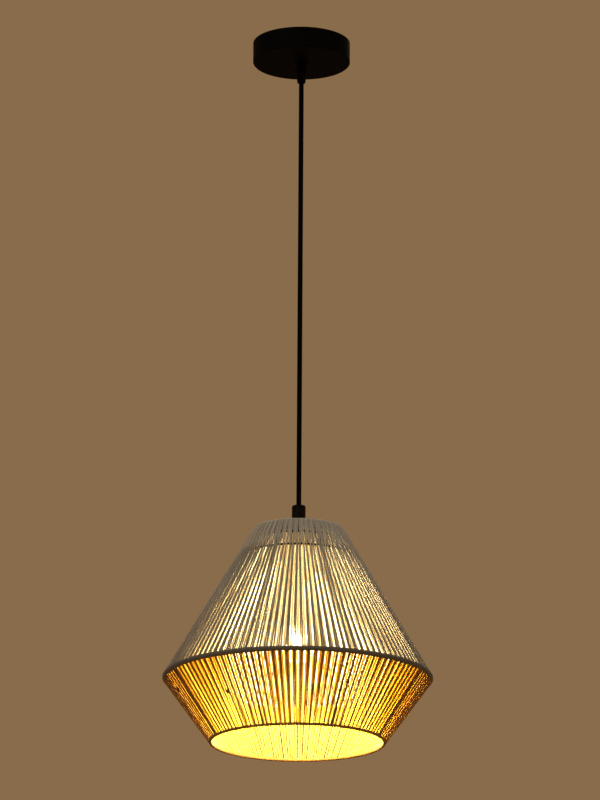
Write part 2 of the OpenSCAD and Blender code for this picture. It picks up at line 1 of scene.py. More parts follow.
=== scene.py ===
"""Looks of the hanging lantern: the wound string shade, the bound rims, the cord and the lit lamp.

Lengths in the shade part are millimetres until a mesh is made, where they become metres.
"""

import math

import bpy
import numpy as np
from mathutils import Matrix, Vector


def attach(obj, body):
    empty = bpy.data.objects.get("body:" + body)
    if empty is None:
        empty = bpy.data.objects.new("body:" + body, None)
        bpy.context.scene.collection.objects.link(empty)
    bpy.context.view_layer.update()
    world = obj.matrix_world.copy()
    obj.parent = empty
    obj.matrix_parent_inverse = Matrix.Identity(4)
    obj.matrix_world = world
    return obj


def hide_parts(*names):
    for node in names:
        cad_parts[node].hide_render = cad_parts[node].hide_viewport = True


MM = 0.001
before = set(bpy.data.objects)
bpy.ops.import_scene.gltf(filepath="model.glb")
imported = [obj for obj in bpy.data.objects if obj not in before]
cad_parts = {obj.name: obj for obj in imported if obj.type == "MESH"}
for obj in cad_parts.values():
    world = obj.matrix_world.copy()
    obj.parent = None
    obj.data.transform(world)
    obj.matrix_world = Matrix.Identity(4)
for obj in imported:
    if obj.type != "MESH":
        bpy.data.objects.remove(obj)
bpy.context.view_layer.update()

# ---------------------------------------------------------------- camera
FOCAL_PX = 4750.0          # focal length for an image 800 pixels high
IMAGE_H = 800.0
SENSOR = 36.0
CAMERA_AWAY = 5.531        # metres in front of the lamp's axis
CAMERA_Z = -2.0777
TILT_UP = 16.3             # degrees
ROLL = 0.35
CAMERA_X = 0.0007

cam_data = bpy.data.cameras.new("camera")
cam_data.sensor_width = SENSOR
cam_data.lens = FOCAL_PX / IMAGE_H * SENSOR
cam_data.clip_end = 100.0
cam = bpy.data.objects.new("camera", cam_data)
bpy.context.scene.collection.objects.link(cam)
cam.matrix_world = (Matrix.Translation((CAMERA_X, -CAMERA_AWAY, CAMERA_Z))
                    @ Matrix.Rotation(math.radians(90.0 + TILT_UP), 4, "X")
                    @ Matrix.Rotation(math.radians(ROLL), 4, "Z"))
bpy.context.scene.camera = cam
bpy.context.scene.view_settings.view_transform = "Standard"

# ---------------------------------------------------------------- sizes of the shade (mm)
SPIDER_Z = -626.0
TOP_R, BELLY_R, BOTTOM_R = 52.0, 158.5, 103.5
UPPER_H, LOWER_H = 180.5, 77.5
STRING_R = 1.05
STAY_A, STAY_B = 14.3, 35.5      # distance of the stay rings down the cone
STAY_WIRE_R = 1.25
SECTORS, PAIRS = 8, 7
RIB_FIRST = math.radians(22.5)
SECTOR = 2.0 * math.pi / SECTORS
RIB_SPACE = 0.69                 # extra group pitches at each rib
GROUP = SECTOR / (2 * PAIRS + RIB_SPACE)
TOP_HALF_GAP = 1.0               # half the distance between a pair's strings at the top ring
TWIST_PITCH = 10.0
RING_STEP = 1.6
SIDES = 8
ROUND, LOBES = 0.92, 0.08        # a two-ply section: its mean radius and the height of its plies
GROOVE_BELOW, GROOVE_PAINTED_SHADE = 0.9, 0.14    # where the groove between the plies starts, and how dark it is painted as shade

top_pt = np.array([TOP_R, SPIDER_Z])
belly_pt = np.array([BELLY_R, SPIDER_Z - UPPER_H])
bottom_pt = np.array([BOTTOM_R, SPIDER_Z - UPPER_H - LOWER_H])


def unit(v):
    return v / np.linalg.norm(v)


UPPER_L = float(np.linalg.norm(belly_pt - top_pt))
LOWER_L = float(np.linalg.norm(bottom_pt - belly_pt))
upper_u = unit(belly_pt - top_pt)
lower_u = unit(bottom_pt - belly_pt)
upper_n = np.array([-upper_u[1], upper_u[0]])
lower_n = np.array([-lower_u[1], lower_u[0]])
rng = np.random.default_rng(7)


# ---------------------------------------------------------------- mesh helpers
def new_mesh_object(name, verts, faces, body, material):
    """verts in millimetres; faces as an (n, 4) array of quads."""
    mesh = bpy.data.meshes.new(name)
    mesh.vertices.add(len(verts))
    mesh.vertices.foreach_set("co", (np.asarray(verts) * MM).astype(np.float32).ravel())
    faces = np.asarray(faces, dtype=np.int32)
    mesh.loops.add(faces.size)
    mesh.loops.foreach_set("vertex_index", faces.ravel())
    mesh.polygons.add(len(faces))
    mesh.polygons.foreach_set("loop_start", np.arange(0, faces.size, 4, dtype=np.int32))
    mesh.polygons.foreach_set("loop_total", np.full(len(faces), 4, dtype=np.int32))
    mesh.update(calc_edges=True)
    mesh.validate()
    mesh.shade_smooth()
    mesh.materials.append(material)
    obj = bpy.data.objects.new(name, mesh)
    bpy.context.scene.collection.objects.link(obj)
    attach(obj, body)
    return obj


def set_tone(obj, tone):
    """Store a brightness for each vertex, which the string materials read; it holds painted shade
    and light as well as each string's own variation.
    """
    attribute = obj.data.attributes.new("tone", "FLOAT", "POINT")
    attribute.data.foreach_set("value", tone.astype(np.float32).reshape(-1))


def resample(points, step):
    """Points evenly spaced along a polyline."""
    points = np.asarray(points, float)
    run = np.concatenate([[0.0], np.cumsum(np.linalg.norm(np.diff(points, axis=0), axis=1))])
    count = max(4, int(round(run[-1] / step)) + 1)
    at = np.linspace(0.0, run[-1], count)
    return np.stack([np.interp(at, run, points[:, k]) for k in range(3)], axis=1), at


def strand(points, radius, tone, phase):
    """A two-ply twisted string along points: vertices, quads and a tone for each vertex, darker in
    the groove between the plies as painted shade.

    radius and tone are one number, or two when they change from one end to the other.
    """
    pts, at = resample(points, RING_STEP)
    radius = np.linspace(*np.broadcast_to(radius, 2), len(pts))[:, None]
    tone = np.linspace(*np.broadcast_to(tone, 2), len(pts))[:, None]
    tangent = np.gradient(pts, axis=0)
    tangent /= np.linalg.norm(tangent, axis=1, keepdims=True)
    radial = np.stack([pts[:, 0], pts[:, 1], np.zeros(len(pts))], axis=1)
    radial /= np.linalg.norm(radial, axis=1, keepdims=True)
    side = np.cross(tangent, radial)
    side /= np.linalg.norm(side, axis=1, keepdims=True)
    other = np.cross(side, tangent)
    turn = 2.0 * math.pi * at / TWIST_PITCH + phase
    ang = np.arange(SIDES) * 2.0 * math.pi / SIDES
    lobe = radius * (ROUND + LOBES * np.cos(2.0 * (ang[None, :] - turn[:, None])))
    verts = (pts[:, None, :] + lobe[..., None]
             * (np.cos(ang)[None, :, None] * side[:, None, :]
                + np.sin(ang)[None, :, None] * other[:, None, :])).reshape(-1, 3)
    n = len(pts)
    i = np.arange(n - 1)[:, None] * SIDES
    j = np.arange(SIDES)[None, :]
    k = (j + 1) % SIDES
    quads = np.stack([i + j, i + k, i + SIDES + k, i + SIDES + j], axis=-1).reshape(-1, 4)
    # the two ends are closed by quads across the section
    ends = []
    for base, order in ((0, 1), ((n - 1) * SIDES, -1)):
        for a, b, c, d in ((0, 1, 2, 7), (7, 2, 3, 6), (6, 3, 4, 5)):
            ends.append([base + q for q in (a, b, c, d)[::-order]])
    quads = np.concatenate([quads, np.array(ends)])
    # painted shade: the tone is lowered in the groove between the plies
    groove_painted_shade = 1.0 - GROOVE_PAINTED_SHADE * (lobe < GROOVE_BELOW * radius)
    return verts, quads, (tone * groove_painted_shade).reshape(-1)


def strands_object(name, runs, body, material):
    """One object from many strands; runs holds (points, radius, tone, phase)."""
    verts, faces, tones, base = [], [], [], 0
    for points, radius, tone, phase in runs:
        v, f, t = strand(points, radius, tone, phase)
        verts.append(v)
        faces.append(f + base)
        tones.append(t)
        base += len(v)
    obj = new_mesh_object(name, np.concatenate(verts), np.concatenate(faces), body, material)
    set_tone(obj, np.concatenate(tones))
    return obj


def turned(p, angle):
    """The point p, given as radius and height, turned round the axis."""
    return [p[0] * math.cos(angle), p[0] * math.sin(angle), p[1]]


def on_upper(s, off, angle):
    """A point s down the upper cone and off outside the plane of its wires."""
    return turned(top_pt + s * upper_u + off * upper_n, angle)


def on_lower(s, off, angle):
    """A point s down the lower cone and off outside the plane of its wires."""
    return turned(belly_pt + s * lower_u + off * lower_n, angle)


def varied(points, radius, tone=1.0, mean=1.0, spread=0.05):
    """A run for strands_object: the given tone, which may be painted shade or light, with a random
    spread of its own, and its own turn of the twist.
    """
    return points, radius, tone * rng.normal(mean, spread), rng.uniform(0, math.pi)


def upper_radius(s):
    return TOP_R + s * upper_u[0]


def over_top(angle, radius):
    """The half turn of a string over the top wire, from its outer to its inner side."""
    steps = np.linspace(0.0, math.pi, 9)[1:-1]
    return [on_upper(-radius * math.sin(a), radius * math.cos(a), angle) for a in steps]


# ---------------------------------------------------------------- strings of the upper cone
OUTER_TOP, OUTER_BELLY = 3.05, 1.85
INNER_TOP, INNER_STAY, INNER_BELLY = -3.05, -4.75, -1.85
BELLY_SPLIT = 1.15         # sideways distance of a group's two strings from its centre
BELLY_END = 1.0            # strings end inside the bound belly rim
# tones and widths are chosen to look like the photo, from the outer to the inner end of a turn; the
# tone runs from painted shade on the outer run to painted light on the inner run
TURN_PAINTED_SHADE_TO_LIGHT = np.array([0.34, 1.1])
TURN_VARIES = 0.06
# companions are painted darker than the turns, as painted shade under the outer run
COMPANION_R, COMPANION_PAINTED_SHADE = (0.7, 1.05), 0.4
COMPANION_VARIES = 0.1
COMPANION_SUNK = 0.3       # how far a companion lies under the outer run
LINING_R = (0.9, 1.8)      # the turns behind the gaps, at the stay ring and at the belly
# the lining turns are painted brighter than the string's own colour: painted light from the lamp
# inside
LINING_PAINTED_LIGHT = 1.65
LINING_STAY, LINING_BELLY = -4.2, -2.3   # how far they stand inside the wires' plane
SPREAD_AT_A = 0.5          # the pair opens a little at the upper stay ring
SPREAD_REACH = 6.0
PLACE_VARIES = 0.1         # sideways unevenness of a string's end
PAST_STAY = 1.0            # strings that start at the lower stay ring start this far below it

# filling turns: (mean, spread) of the tone, and how deep they sit in the outer run
FILL_A_TONE, FILL_B_TONE = (1.05, 0.06), (1.0, 0.05)
FILL_A_DEPTH, FILL_B_DEPTH, FILL_RIB_DEPTH = 1.1, 0.35, 0.5
FILL_OVERLAP = 0.3         # how far a filling turn presses on the stay ring
FILL_OUTER_SHORT, FILL_INNER_SHORT = 3.0, 2.5    # where its sides leave for the low bend
FILL_TOP_SHARE, FILL_INNER_SHARE = 0.4, 0.5      # the share of the depth over and behind the wire
BEND_IN, BEND_UP, BEND_DEEPER = 1.6, 0.6, 0.9    # shape of the low bend


def inner_offset(s):
    return float(np.interp(s, [0, STAY_A, STAY_B, UPPER_L],
                           [INNER_TOP, INNER_STAY, INNER_STAY, INNER_BELLY]))


def outer_offset(s):
    return float(np.interp(s, [0, UPPER_L], [OUTER_TOP, OUTER_BELLY]))


def long_turn(pair_angle, group_angle, side):
    """One turn of string: up the outer side, over the top wire and down the inner side."""
    share = np.linspace(0.0, 1.0, 24)
    jitter_a, jitter_b = rng.normal(0.0, PLACE_VARIES, 2)
    top = side * TOP_HALF_GAP
    outer_end = (group_angle - pair_angle) * BELLY_R - BELLY_SPLIT + jitter_a
    inner_end = (group_angle - pair_angle) * BELLY_R + BELLY_SPLIT + jitter_b
    points = []
    for f in share[::-1]:
        s = f * (UPPER_L - BELLY_END)
        spread = side * SPREAD_AT_A * math.exp(-((s - STAY_A) / SPREAD_REACH) ** 2)
        across = top + f * (outer_end - top) + spread
        points.append(on_upper(s, outer_offset(s), pair_angle + across / upper_radius(s)))
    points += over_top(pair_angle + top / TOP_R, OUTER_TOP)
    for f in share:
        s = f * (UPPER_L - BELLY_END)
        across = top + f * (inner_end - top)
        points.append(on_upper(s, inner_offset(s), pair_angle + across / upper_radius(s)))
    return points


def short_turn(angle, stay_s, depth):
    """A filling turn: from the top wire down to a stay ring, in through the pairs and back up."""
    stop = stay_s - STAY_WIRE_R - STRING_R + FILL_OVERLAP
    points = []
    for s in np.linspace(stop - FILL_OUTER_SHORT, 0.0, 8):
        points.append(on_upper(s, outer_offset(s) - depth, angle))
    points += over_top(angle, OUTER_TOP - FILL_TOP_SHARE * depth)
    for s in np.linspace(0.0, stop - FILL_INNER_SHORT, 8):
        points.append(on_upper(s, inner_offset(s) + FILL_INNER_SHARE * depth, angle))
    low = [on_upper(stop, inner_offset(stop) + BEND_IN, angle), on_upper(stop, 0.0, angle),
           on_upper(stop - BEND_UP, outer_offset(stop) - depth - BEND_DEEPER, angle)]
    return points + low + points[:1]


def cover_turn(angle):
    """The turn that lies on a rib, outside and inside."""
    share = np.linspace(0.0, UPPER_L - BELLY_END, 16)
    return ([on_upper(s, outer_offset(s), angle) for s in share[::-1]]
            + over_top(angle, OUTER_TOP) + [on_upper(s, inner_offset(s), angle) for s in share])


def companion_turn(pair_angle, group_angle, side):
    """The second string of a group on the outer side, from the lower stay ring to the belly."""
    top = side * TOP_HALF_GAP
    end = (group_angle - pair_angle) * BELLY_R + BELLY_SPLIT + rng.normal(0.0, PLACE_VARIES)
    points = []
    for s in np.linspace(STAY_B + PAST_STAY, UPPER_L - BELLY_END, 12):
        across = top + s / UPPER_L * (end - top)
        points.append(on_upper(s, outer_offset(s) - COMPANION_SUNK,
                               pair_angle + across / upper_radius(s)))
    return points


def lining_turn(angle):
    """A string of the inner side, seen in the gap between two groups of the outer side."""
    share = np.linspace(0.0, 1.0, 12)
    s = STAY_B + PAST_STAY + share * (UPPER_L - BELLY_END - STAY_B - PAST_STAY)
    off = LINING_STAY + share * (LINING_BELLY - LINING_STAY)
    return [on_upper(a, b, angle) for a, b in zip(s, off)]


upper_runs, fill_runs = [], []
for k in range(SECTORS):
    first = RIB_FIRST + k * SECTOR
    centres = first + (np.arange(2 * PAIRS) + 0.5 + RIB_SPACE / 2) * GROUP
    sector_runs = []
    for j in range(PAIRS):
        pair = (centres[2 * j] + centres[2 * j + 1]) / 2
        for side, centre in ((-1, centres[2 * j]), (1, centres[2 * j + 1])):
            sector_runs.append(varied(long_turn(pair, centre, side), STRING_R,
                                      TURN_PAINTED_SHADE_TO_LIGHT, spread=TURN_VARIES))
            sector_runs.append(varied(companion_turn(pair, centre, side), COMPANION_R,
                                      COMPANION_PAINTED_SHADE, spread=COMPANION_VARIES))
        for angle in (pair, pair + GROUP) if j < PAIRS - 1 else (pair,):
            sector_runs.append(varied(lining_turn(angle), LINING_R, LINING_PAINTED_LIGHT))
        fill_runs.append(varied(short_turn(pair, STAY_A, FILL_A_DEPTH), STRING_R,
                                1.0, *FILL_A_TONE))
        if j < PAIRS - 1:
            fill_runs.append(varied(short_turn(pair + GROUP, STAY_B, FILL_B_DEPTH), STRING_R,
                                    1.0, *FILL_B_TONE))
    sector_runs.append((cover_turn(first), STRING_R, TURN_PAINTED_SHADE_TO_LIGHT, 0.0))
    for side in (-0.5, 0.5):
        fill_runs.append(varied(short_turn(first + side * GROUP, STAY_B, FILL_RIB_DEPTH),
                                STRING_R, 1.0, *FILL_B_TONE))
        sector_runs.append(varied(lining_turn(first + side * GROUP), LINING_R, LINING_PAINTED_LIGHT))
    upper_runs.append(sector_runs)

# ---------------------------------------------------------------- strings of the lower cone
LOWER_BELLY, LOWER_BOTTOM = 1.85, 1.05   # how far each run stands off the wires' plane
LOWER_START, LOWER_STOP = 1.0, 0.8
# radii at the belly and at the bottom, and the tone, are chosen to look like the photo; the outer
# run's low tone is painted shade, the inner run keeps the string's colour
INNER_R = np.array([1.85, 0.86])   # wider than a string, so that the run nearly closes the wall
INNER_SIDE = 0.25          # two inner strings a group, this share of a group from its centre
INNER_VARIES = 0.06
OUTER_R = np.array([0.95, 0.65])
OUTER_SIDE = 0.09          # the outer run lies in pairs, closer together
# painted shade: the outer run is painted much darker than the inner run
OUTER_PAINTED_SHADE, OUTER_VARIES = 0.14, 0.2
COVER_TONE = 0.9           # the string on a rib, as a share of the others
START_VARIES, END_VARIES = 0.02, 0.045   # sideways unevenness, as a share of a group
KNOT_LONG, KNOT_DEEP, KNOT_WIDE = 2.6, 1.2, 1.5
KNOT_OFF, KNOT_R = 2.6, 0.9
# direction in degrees and distance down from the belly ring
KNOTS = [(-166.0, 26.0), (-128.0, 47.0), (-65.0, 38.0), (20.0, 30.0), (75.0, 18.0), (150.0, 25.0)]


def lower_run(angle, sideways, off_sign):
    """A string from belly to bottom ring; sideways is a share of a group, -0.5 to 0.5."""
    points = []
    start = sideways + rng.normal(0.0, START_VARIES)
    end = sideways + rng.normal(0.0, END_VARIES)
    for f in np.linspace(0.0, 1.0, 14):
        s = LOWER_START + f * (LOWER_L - LOWER_START - LOWER_STOP)
        off = off_sign * (LOWER_BELLY + f * (LOWER_BOTTOM - LOWER_BELLY))
        points.append(on_lower(s, off, angle + (start + f * (end - start)) * GROUP))
    return points


def knot(angle, s, off):
    """A small knot where one length of string is tied to the next."""
    around = np.linspace(0.0, 2.0 * math.pi, 10)
    return [on_lower(s + KNOT_LONG * math.sin(2.0 * a), off + KNOT_DEEP * math.sin(a),
                     angle + KNOT_WIDE * math.cos(a) / BELLY_R) for a in around]


lower_outer, lower_inner = [], []
for k in range(SECTORS):
    first = RIB_FIRST + k * SECTOR
    centres = first + (np.arange(2 * PAIRS) + 0.5 + RIB_SPACE / 2) * GROUP
    lower_outer.append((lower_run(first, 0.0, 1), STRING_R, COVER_TONE * OUTER_PAINTED_SHADE, 0.0))
    lower_inner.append((lower_run(first, 0.0, -1), STRING_R, COVER_TONE, 0.0))
    for centre in centres:
        for side in (-OUTER_SIDE, OUTER_SIDE):
            lower_outer.append(varied(lower_run(centre, side, 1), OUTER_R,
                                      OUTER_PAINTED_SHADE, spread=OUTER_VARIES))
        for side in (-INNER_SIDE, INNER_SIDE):
            lower_inner.append(varied(lower_run(centre, side, -1),
                                      INNER_R * rng.uniform(0.8, 1.0), spread=INNER_VARIES))
# the knots take the darkest tone, painted shade like the outer run
for degrees, s in KNOTS:
    lower_outer.append((knot(math.radians(degrees), s, KNOT_OFF), KNOT_R, 0.0, 0.0))


# ---------------------------------------------------------------- bound rims
RIDGE_ROUND = 0.92         # 1 would be a full half circle across each string
RIDGE_H = 0.45
RIM_UNDER = 0.1            # keeps the ridges inside the given radius
WOBBLE_SLOW, WOBBLE_FAST = 0.05, 0.04
# painted shade: the tone is lower in the valleys between the wraps and higher on the ridges
RIM_VALLEY_PAINTED_SHADE, RIM_RIDGE_PAINTED_LIGHT = 0.72, 0.32
RIM_STAINS = 0.04
STEPS_PER_WRAP = 6


def bound_rim(name, centre, tube_r, string_w, around, material):
    """A wire ring closely bound with string: a helix of ridges one string wide, with painted shade
    in the valleys between them.
    """
    ring_r, z = centre
    wraps = int(round(2.0 * math.pi * ring_r / string_w))
    steps = wraps * STEPS_PER_WRAP
    u = np.arange(steps) * 2.0 * math.pi / steps
    v = np.arange(around) * 2.0 * math.pi / around
    phase = (u[:, None] * wraps / (2.0 * math.pi) + v[None, :] / (2.0 * math.pi)) % 1.0
    ridge = np.sqrt(np.maximum(0.0, 1.0 - (2.0 * phase - 1.0) ** 2 * RIDGE_ROUND))
    wobble = (WOBBLE_SLOW * np.sin(u * 37.0)[:, None]
              + WOBBLE_FAST * np.sin(u * 91.0 + 1.0)[:, None])
    radius = tube_r - RIDGE_H * (1.0 - ridge) - RIM_UNDER + wobble
    rr = ring_r + radius * np.cos(v)[None, :]
    zz = z + radius * np.sin(v)[None, :]
    verts = np.stack([rr * np.cos(u)[:, None], rr * np.sin(u)[:, None], zz], axis=-1).reshape(-1, 3)
    i = np.arange(steps)[:, None]
    j = np.arange(around)[None, :]
    i2, j2 = (i + 1) % steps, (j + 1) % around
    faces = np.stack([i * around + j, i2 * around + j, i2 * around + j2, i * around + j2],
                     axis=-1).reshape(-1, 4)
    obj = new_mesh_object(name, verts, faces, "shade", material)
    # valleys painted darker as shade, ridges lighter; the slow change along the ring is stains
    set_tone(obj, (RIM_VALLEY_PAINTED_SHADE + RIM_RIDGE_PAINTED_LIGHT * ridge)
             * (1.0 + RIM_STAINS * np.sin(u * 53.0))[:, None])
    return obj


# ---------------------------------------------------------------- materials
class Nodes:
    """Short names for the nodes that every material here is made of."""

    def __init__(self, name):
        self.material = bpy.data.materials.new(name)
        self.material.use_nodes = True
        self.tree = self.material.node_tree
        self.bsdf = self.tree.nodes["Principled BSDF"]
        self.coords = self.tree.nodes.new("ShaderNodeTexCoord")

    def add(self, kind, **inputs):
        node = self.tree.nodes.new(kind)
        for key, value in inputs.items():
            node.inputs[key.replace("_", " ")].default_value = value
        return node

    def link(self, source, target):
        self.tree.links.new(source, target)

    def noise(self, scale, detail=3.0, roughness=0.5, stretch=None):
        node = self.add("ShaderNodeTexNoise", Scale=scale, Detail=detail, Roughness=roughness)
        if stretch is None:
            self.link(self.coords.outputs["Object"], node.inputs["Vector"])
        else:
            mapping = self.add("ShaderNodeMapping", Scale=stretch)
            self.link(self.coords.outputs["Object"], mapping.inputs["Vector"])
            self.link(mapping.outputs["Vector"], node.inputs["Vector"])
        return node.outputs["Fac"]

    def ramp(self, source, stops):
        node = self.tree.nodes.new("ShaderNodeValToRGB")
        ramp = node.color_ramp
        while len(ramp.elements) < len(stops):
            ramp.elements.new(0.5)
        for element, (place, colour) in zip(ramp.elements, stops):
            element.position = place
            element.color = (*colour, 1.0)
        self.link(source, node.inputs["Fac"])
        return node.outputs["Color"]

    def spread(self, source, low, high):
        node = self.add("ShaderNodeMapRange", From_Min=0.3, From_Max=0.7, To_Min=low, To_Max=high)
        self.link(source, node.inputs["Value"])
        return node.outputs["Result"]

    def bump(self, source, strength, distance):
        node = self.add("ShaderNodeBump", Strength=strength, Distance=distance)
        self.link(source, node.inputs["Height"])
        self.link(node.outputs["Normal"], self.bsdf.inputs["Normal"])


def scaled(colour, factor):
    return tuple(min(1.0, c * factor) for c in colour)


def string_material(name, colour, painted_shade_colour, fibre=0.5, through=0.35):
    """Twisted cotton or paper string: fibres, and a tone for each vertex from painted_shade_colour
    to colour, which holds painted shade and light as well as each string's own variation.
    """
    m = Nodes(name)
    fine = m.noise(1400.0, detail=4.0, roughness=0.65)
    base = m.ramp(fine, [(0.25, scaled(colour, 0.78)), (0.5, colour), (0.8, scaled(colour, 1.12))])
    tone = m.tree.nodes.new("ShaderNodeAttribute")
    tone.attribute_name = "tone"
    mix = m.tree.nodes.new("ShaderNodeMix")
    mix.data_type = "RGBA"
    mix.clamp_factor = False
    mix.inputs["A"].default_value = (*painted_shade_colour, 1.0)
    m.link(tone.outputs["Fac"], mix.inputs["Factor"])
    m.link(base, mix.inputs["B"])
    m.link(mix.outputs["Result"], m.bsdf.inputs["Base Color"])
    m.link(m.spread(fine, 0.75, 0.95), m.bsdf.inputs["Roughness"])
    m.bump(fine, fibre, 0.0003)
    m.bsdf.inputs["Subsurface Weight"].default_value = through
    m.bsdf.inputs["Subsurface Radius"].default_value = (1.0, 0.92, 0.85)
    m.bsdf.inputs["Subsurface Scale"].default_value = 0.004
    m.bsdf.inputs["Sheen Weight"].default_value = 0.1
    m.bsdf.inputs["Specular IOR Level"].default_value = 0.25
    return m.material


def coated_material(name, colour, rough, metal=0.0, grain=900.0, strength=0.12, gloss=0.5,
                    blotch=24.0, uneven=0.15):
    """Powder coat, moulded plastic or plated metal with a fine grain and uneven gloss."""
    m = Nodes(name)
    fine = m.noise(grain, detail=3.0)
    broad = m.noise(blotch, detail=2.0)
    base = m.ramp(broad, [(0.3, scaled(colour, 1.0 - uneven)), (0.7, scaled(colour, 1.0 + uneven))])
    m.link(base, m.bsdf.inputs["Base Color"])
    m.link(m.spread(fine, rough - 0.08, rough + 0.08), m.bsdf.inputs["Roughness"])
    m.bsdf.inputs["Metallic"].default_value = metal
    m.bsdf.inputs["Specular IOR Level"].default_value = gloss
    m.bump(fine, strength, 0.0002)
    return m.material


def brushed_material(name, colour, rough, stretch):
    """Drawn or turned metal: fine lines along one direction."""
    m = Nodes(name)
    lines = m.noise(300.0, detail=4.0, stretch=stretch)
    base = m.ramp(lines, [(0.3, scaled(colour, 0.8)), (0.7, colour)])
    m.link(base, m.bsdf.inputs["Base Color"])
    m.link(m.spread(lines, rough - 0.1, rough + 0.1), m.bsdf.inputs["Roughness"])
    m.bsdf.inputs["Metallic"].default_value = 1.0
    m.bump(lines, 0.15, 0.0001)
    return m.material


def glowing_material(name, colour, strength, rough):
    """The lamp's lit strips, a little dimmer in places."""
    m = Nodes(name)
    broad = m.noise(16.0, detail=1.0)
    base = m.ramp(broad, [(0.2, scaled(colour, 0.92)), (0.8, colour)])
    m.link(base, m.bsdf.inputs["Base Color"])
    m.link(base, m.bsdf.inputs["Emission Color"])
    m.bsdf.inputs["Emission Strength"].default_value = strength
    m.bsdf.inputs["Roughness"].default_value = rough
    return m.material


def glass_material(name, colour, alpha, rough):
    """Thin clear glass: mostly see-through, with a faint tint and a polished surface."""
    m = Nodes(name)
    broad = m.noise(40.0, detail=2.0)
    base = m.ramp(broad, [(0.2, scaled(colour, 0.9)), (0.8, colour)])
    m.link(base, m.bsdf.inputs["Base Color"])
    m.bsdf.inputs["Roughness"].default_value = rough
    m.bsdf.inputs["Alpha"].default_value = alpha
    m.bsdf.inputs["Transmission Weight"].default_value = 1.0
    m.bsdf.inputs["IOR"].default_value = 1.45
    return m.material


# each string's colour, then its painted shade colour, shown at the darkest tone
string_white = string_material("string_white", (0.52, 0.50, 0.44), (0.06, 0.05, 0.04),
                               through=0.7)
string_natural = string_material("string_natural", (0.82, 0.63, 0.095), (0.12, 0.035, 0.012),
                                 through=1.0)
binding_grey = string_material("binding_grey", (0.15, 0.14, 0.115), (0.04, 0.035, 0.03),
                               through=0.05)
binding_brown = string_material("binding_brown", (0.30, 0.16, 0.035), (0.03, 0.012, 0.005),
                                through=0.05)
powder_black = coated_material("powder_black", (0.0025, 0.0023, 0.002), 0.6, grain=1200.0,
                               gloss=0.02)
plastic_black = coated_material("plastic_black", (0.003, 0.0027, 0.0024), 0.5, grain=700.0,
                                gloss=0.03)
screw_black = coated_material("screw_black", (0.05, 0.05, 0.05), 0.4, metal=1.0)
zinc = brushed_material("zinc", (0.62, 0.63, 0.65), 0.35, (1.0, 18.0, 1.0))
nylon = coated_material("nylon", (0.8, 0.78, 0.7), 0.45, grain=300.0)
brass = brushed_material("brass", (0.78, 0.58, 0.26), 0.3, (1.0, 1.0, 14.0))
sheath = coated_material("sheath", (0.0025, 0.0023, 0.002), 0.55, grain=500.0, strength=0.2,
                         gloss=0.02)
insulation = coated_material("insulation", (0.3, 0.16, 0.07), 0.45, grain=400.0)
holder_plastic = coated_material("holder_plastic", (0.30, 0.23, 0.13), 0.6, grain=700.0,
                                 gloss=0.05)
glazed = coated_material("glazed", (0.85, 0.84, 0.8), 0.2, grain=90.0, strength=0.05)
wire_steel = coated_material("wire_steel", (0.008, 0.007, 0.006), 0.5, grain=600.0, gloss=0.05)
rib_cream = coated_material("rib_cream", (0.5, 0.47, 0.4), 0.6, grain=500.0)
rib_brown = coated_material("rib_brown", (0.2, 0.12, 0.05), 0.6, grain=500.0)
cap_metal = brushed_material("cap_metal", (0.76, 0.76, 0.77), 0.3, (1.0, 1.0, 12.0))
vitrite = coated_material("vitrite", (0.03, 0.03, 0.035), 0.15, grain=120.0, strength=0.05)
lamp_glass = glass_material("lamp_glass", (1.0, 0.93, 0.8), 0.06, 0.03)
strip_lit = glowing_material("strip_lit", (1.0, 0.78, 0.42), 7.0, 0.5)
clear_glass = glass_material("clear_glass", (0.95, 0.97, 0.97), 0.2, 0.05)

NODE_MATERIALS = {
    powder_black: ["canopy_cup"],
    plastic_black: ["canopy_cord_grip", "holder_cord_grip"],
    screw_black: ["canopy_side_screws", "canopy_grip_screw", "holder_grip_screw"],
    zinc: ["ceiling_bracket", "canopy_grip_nut", "threaded_tube", "spider_lock_nut"],
    nylon: ["terminal_block"],
    brass: ["terminal_screws", "earth_screw", "screw_shell", "centre_contact",
            "holder_terminals", "lamp_tip_contact"],
    sheath: ["ceiling_lead", "holder_lead", "power_cord"],
    insulation: ["ceiling_cores", "holder_cores"],
    glazed: ["lampholder_insert"],
    holder_plastic: ["lampholder_cap", "lampholder_body"],
    wire_steel: ["shade_spider", "top_ring", "upper_stay_ring", "lower_stay_ring", "belly_ring",
                 "bottom_ring"],
    rib_cream: ["upper_ribs"],
    rib_brown: ["lower_ribs"],
    cap_metal: ["lamp_screw_cap"],
    vitrite: ["lamp_insulator"],
    lamp_glass: ["lamp_globe"],
    strip_lit: ["lamp_filaments"],
    clear_glass: ["lamp_stem"],
    string_white: ["upper_winding"],
    string_natural: ["lower_winding"],
    binding_grey: ["belly_binding"],
    binding_brown: ["bottom_binding"],
}
for material, names in NODE_MATERIALS.items():
    for name in names:
        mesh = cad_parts[name].data
        mesh.materials.clear()
        mesh.materials.append(material)

